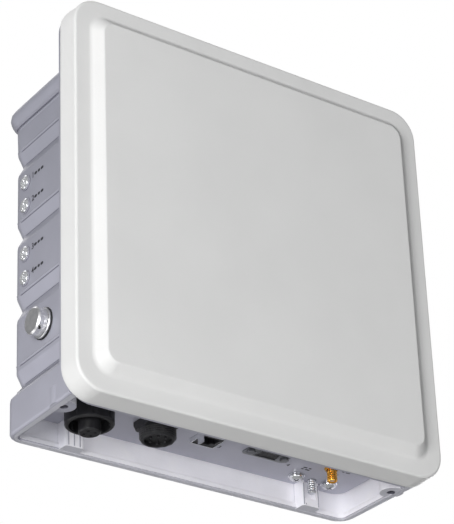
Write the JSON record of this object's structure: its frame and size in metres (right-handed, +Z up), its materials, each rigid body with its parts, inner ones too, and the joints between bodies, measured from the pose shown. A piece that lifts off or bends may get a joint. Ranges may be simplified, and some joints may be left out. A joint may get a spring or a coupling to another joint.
{
  "type": "outdoor wireless bridge",
  "caption": "Square outdoor radio bridge: a flat off-white radome on a ribbed die-cast housing, with a connector bay that opens downwards.",
  "frame": {"origin": "centre of the flat mounting pad on the back", "axes": "+X to the right seen from the front, +Y out of the back, +Z up; the radome faces -Y"},
  "size_m": [0.264, 0.0974, 0.262],
  "materials": {
    "radome_plastic": "satin, fine moulded texture, UV-stable off-white",
    "cast_paint": "satin powder coat on die-cast aluminium",
    "black_plastic": "moulded black nylon",
    "rubber": "matt black",
    "steel": "bright plated steel",
    "dark_steel": "passivated steel",
    "aluminium": "mill finish sheet",
    "gold": "gold plated brass",
    "circuit_board": "green solder mask",
    "clear_plastic": "clear moulded lens",
    "foam": "closed-cell foam sheet",
    "insulator": "white fluoropolymer"
  },
  "bodies": {
    "unit": {"radome": "radome_plastic", "radome_gasket": "rubber", "thermal_pad": "rubber", "vent_seal": "rubber", "light_bezel_1": "rubber", "light_bezel_2": "rubber", "light_bezel_3": "rubber", "light_bezel_4": "rubber", "rear_housing": "cast_paint", "connector_panel": "cast_paint", "antenna_reflector": "aluminium", "rf_shield_can": "aluminium", "antenna_foam_spacer": "foam", "antenna_patch_board": "circuit_board", "main_board": "circuit_board", "light_board": "circuit_board", "antenna_feed_lead_left": "black_plastic", "antenna_feed_lead_right": "black_plastic", "power_module": "black_plastic", "network_transformer": "black_plastic", "processor": "black_plastic", "power_port_shell": "black_plastic", "power_port_core": "black_plastic", "data_port_shell": "black_plastic", "data_port_face": "black_plastic", "ethernet_port_socket": "black_plastic", "serial_port_face": "black_plastic", "board_standoff_bottom_left": "steel", "board_standoff_bottom_right": "steel", "board_standoff_top_right": "steel", "board_standoff_top_left": "steel", "vent_body": "steel", "ethernet_port_shell": "steel", "serial_port_shell": "steel", "serial_jackscrew_left": "steel", "serial_jackscrew_right": "steel", "earth_stud": "steel", "flange_screw_top_left": "dark_steel", "flange_screw_top_middle": "dark_steel", "flange_screw_top_right": "dark_steel", "flange_screw_side_left": "dark_steel", "flange_screw_side_right": "dark_steel", "flange_screw_bottom_left": "dark_steel", "flange_screw_bottom_middle": "dark_steel", "flange_screw_bottom_right": "dark_steel", "light_lens_1": "clear_plastic", "light_lens_2": "clear_plastic", "light_lens_3": "clear_plastic", "light_lens_4": "clear_plastic", "antenna_port_barrel": "gold", "antenna_port_nut": "gold", "antenna_port_core": "insulator"},
    "power_ring": {"power_port_ring": "black_plastic"},
    "vent_cap": {"vent_cap": "steel"},
    "ground_washer_left": {"ground_washer_left": "steel"},
    "ground_washer_right": {"ground_washer_right": "steel"},
    "ground_screw_left": {"ground_screw_left": "steel"},
    "ground_screw_right": {"ground_screw_right": "steel"}
  },
  "joints": [
    {"name": "power_ring_turn", "type": "hinge", "parent": "unit", "child": "power_ring", "pos_m": [-0.0897, -0.0395, -0.12], "axis": [0, 0, -1], "range_deg": [0, 90]},
    {"name": "vent_cap_turn", "type": "hinge", "parent": "unit", "child": "vent_cap", "pos_m": [-0.125, -0.0405, -0.0678], "axis": [-1, 0, 0], "range_deg": [0, 360]},
    {"name": "ground_screw_left_lift", "type": "slide", "parent": "unit", "child": "ground_washer_left", "axis": [0, 0, -1], "range_m": [0, 0.0016]},
    {"name": "ground_screw_left_turn", "type": "hinge", "parent": "ground_washer_left", "child": "ground_screw_left", "pos_m": [0.0756, -0.019, -0.112], "axis": [0, 0, -1], "range_deg": [0, 720]},
    {"name": "ground_screw_right_lift", "type": "slide", "parent": "unit", "child": "ground_washer_right", "axis": [0, 0, -1], "range_m": [0, 0.0016]},
    {"name": "ground_screw_right_turn", "type": "hinge", "parent": "ground_washer_right", "child": "ground_screw_right", "pos_m": [0.1009, -0.019, -0.112], "axis": [0, 0, -1], "range_deg": [0, 720]}
  ],
  "couplings": [
    {"joint": "ground_screw_left_turn", "follows": "ground_screw_left_lift", "rad_per_m": 7854},
    {"joint": "ground_screw_right_turn", "follows": "ground_screw_right_lift", "rad_per_m": 7854}
  ]
}
